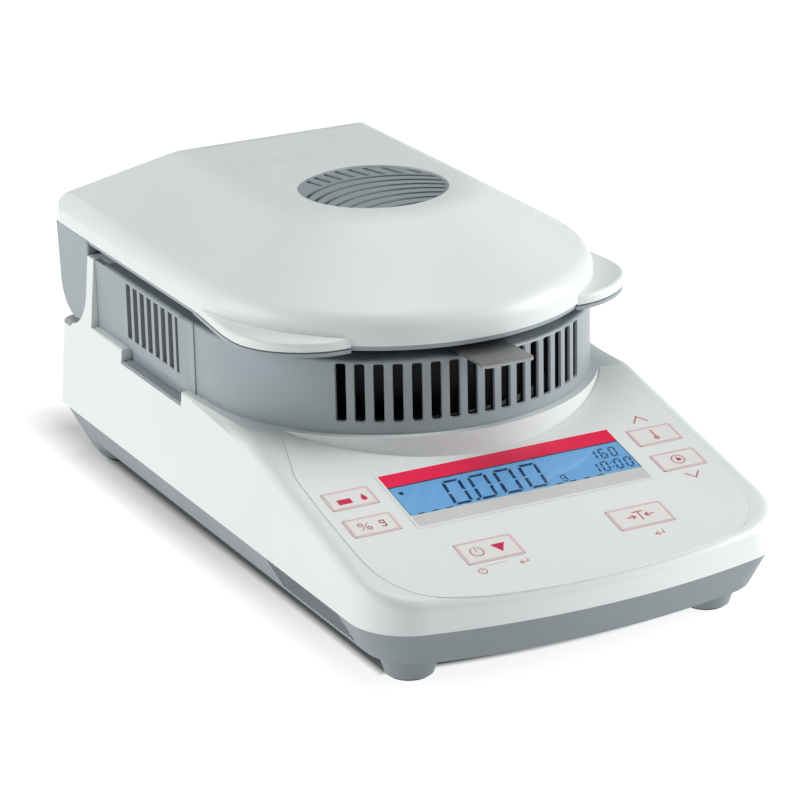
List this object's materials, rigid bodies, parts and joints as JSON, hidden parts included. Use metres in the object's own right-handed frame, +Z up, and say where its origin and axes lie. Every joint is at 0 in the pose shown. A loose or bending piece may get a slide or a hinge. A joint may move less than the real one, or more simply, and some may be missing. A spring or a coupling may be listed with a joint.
{
  "type": "moisture analyzer",
  "caption": "Benchtop halogen moisture analyzer: wedge housing with display and keys, slotted chamber ring, hinged vented heater lid, sample pan on a load cell.",
  "frame": {"origin": "on the table, under the middle of the instrument's outline", "axes": "+X to the operator's right, +Y away from the operator, +Z up"},
  "size_m": [0.168, 0.299, 0.131],
  "materials": {
    "white_shell": "fine moulded texture, semi-matt",
    "grey_shell": "fine moulded texture, semi-matt",
    "grey_ring": "fine moulded texture, semi-matt",
    "overlay_film": "satin printed film",
    "key_film": "satin printed film",
    "clear_window": "clear hard-coated plastic",
    "lcd_glass": "polarised liquid crystal glass",
    "backlight": "white diffuser",
    "circuit_board": "solder mask",
    "black_plastic": "moulded",
    "core_steel": "varnished laminations",
    "cell_aluminium": "machined",
    "screw_steel": "zinc plated",
    "plated_steel": "nickel plated",
    "fuse_glass": "clear",
    "vial_glass": "tinted liquid under a clear cap",
    "foot_rubber": "matt",
    "foot_plastic": "moulded, ribbed edge",
    "sheet_steel": "brushed stainless sheet",
    "handler_steel": "satin sheet",
    "reflector_metal": "bright reflector",
    "pan_aluminium": "drawn foil dish",
    "heater_glass": "heat resistant glass",
    "lamp_glass": "quartz",
    "ceramic_white": "unglazed"
  },
  "bodies": {
    "base": {"chamber_ring": "grey_ring", "display_board": "circuit_board", "display_window": "clear_window", "front_feet": "foot_rubber", "heat_shield": "sheet_steel", "hinge_pins": "screw_steel", "housing_screws": "screw_steel", "inlet_screws": "screw_steel", "key_switches": "black_plastic", "lcd_backlight": "backlight", "lcd_panel": "lcd_glass", "level_body": "black_plastic", "level_vial": "vial_glass", "load_cell": "cell_aluminium", "load_cell_base": "cell_aluminium", "load_cell_screws": "screw_steel", "lower_housing": "grey_shell", "main_board": "circuit_board", "membrane_overlay": "overlay_film", "power_inlet": "black_plastic", "power_supply_board": "circuit_board", "ring_screws": "screw_steel", "serial_port": "plated_steel", "transformer": "core_steel", "upper_housing": "white_shell", "wind_shield": "sheet_steel"},
    "lid": {"lid_cover": "white_shell", "lid_frame": "grey_ring", "vent_grille": "grey_ring", "hinge_arm_left": "grey_ring", "hinge_arm_right": "grey_ring", "arm_screws": "screw_steel", "reflector": "reflector_metal", "halogen_lamp": "lamp_glass", "lamp_sockets": "ceramic_white", "heater_glass": "heater_glass", "glass_clips": "sheet_steel", "temperature_sensor": "sheet_steel", "thermal_cutout": "black_plastic"},
    "pan_lifter": {"pan_handler": "handler_steel", "sample_pan": "pan_aluminium"},
    "weigh_carrier": {"pan_support": "sheet_steel"},
    "fuse_holder": {"fuse_drawer": "black_plastic", "fuses": "fuse_glass"},
    "left_levelling_foot": {"rear_foot_left": "foot_plastic", "rear_foot_pad_left": "foot_rubber"},
    "right_levelling_foot": {"rear_foot_right": "foot_plastic", "rear_foot_pad_right": "foot_rubber"},
    "profile_key": {"key_profile": "key_film"},
    "readout_key": {"key_readout": "key_film"},
    "time_key": {"key_time": "key_film"},
    "temperature_key": {"key_temperature": "key_film"},
    "start_key": {"key_start": "key_film"},
    "tare_key": {"key_tare": "key_film"}
  },
  "joints": [
    {"name": "lid_hinge", "type": "hinge", "parent": "base", "child": "lid", "pos_m": [0, 0.1335, 0.075], "axis": [-1, 0, 0], "range_deg": [0, 82]},
    {"name": "pan_lift", "type": "slide", "parent": "base", "child": "pan_lifter", "axis": [0, 0, 1], "range_m": [0, 0.045]},
    {"name": "weigh_deflection", "type": "slide", "parent": "base", "child": "weigh_carrier", "axis": [0, 0, -1], "range_m": [0, 0.0003], "stiffness_N_per_m": 4000},
    {"name": "fuse_drawer_slide", "type": "slide", "parent": "base", "child": "fuse_holder", "axis": [0, 1, 0], "range_m": [0, 0.018]},
    {"name": "profile_key_press", "type": "slide", "parent": "base", "child": "profile_key", "axis": [0, 0.2425, -0.9701], "range_m": [0, 0.0004], "stiffness_N_per_m": 1500},
    {"name": "readout_key_press", "type": "slide", "parent": "base", "child": "readout_key", "axis": [0, 0.2425, -0.9701], "range_m": [0, 0.0004], "stiffness_N_per_m": 1500},
    {"name": "time_key_press", "type": "slide", "parent": "base", "child": "time_key", "axis": [0, 0.2425, -0.9701], "range_m": [0, 0.0004], "stiffness_N_per_m": 1500},
    {"name": "temperature_key_press", "type": "slide", "parent": "base", "child": "temperature_key", "axis": [0, 0.2425, -0.9701], "range_m": [0, 0.0004], "stiffness_N_per_m": 1500},
    {"name": "start_key_press", "type": "slide", "parent": "base", "child": "start_key", "axis": [0, 0.2425, -0.9701], "range_m": [0, 0.0004], "stiffness_N_per_m": 1500},
    {"name": "tare_key_press", "type": "slide", "parent": "base", "child": "tare_key", "axis": [0, 0.2425, -0.9701], "range_m": [0, 0.0004], "stiffness_N_per_m": 1500},
    {"name": "left_foot_turn", "type": "hinge", "parent": "base", "child": "left_levelling_foot", "pos_m": [-0.0615, 0.13, 0.005], "axis": [0, 0, 1], "range_deg": [-540, 540]},
    {"name": "right_foot_turn", "type": "hinge", "parent": "base", "child": "right_levelling_foot", "pos_m": [0.0615, 0.13, 0.005], "axis": [0, 0, 1], "range_deg": [-540, 540]}
  ],
  "couplings": [
    {"joint": "pan_lift", "follows": "lid_hinge", "m_per_rad": 0.03}
  ]
}
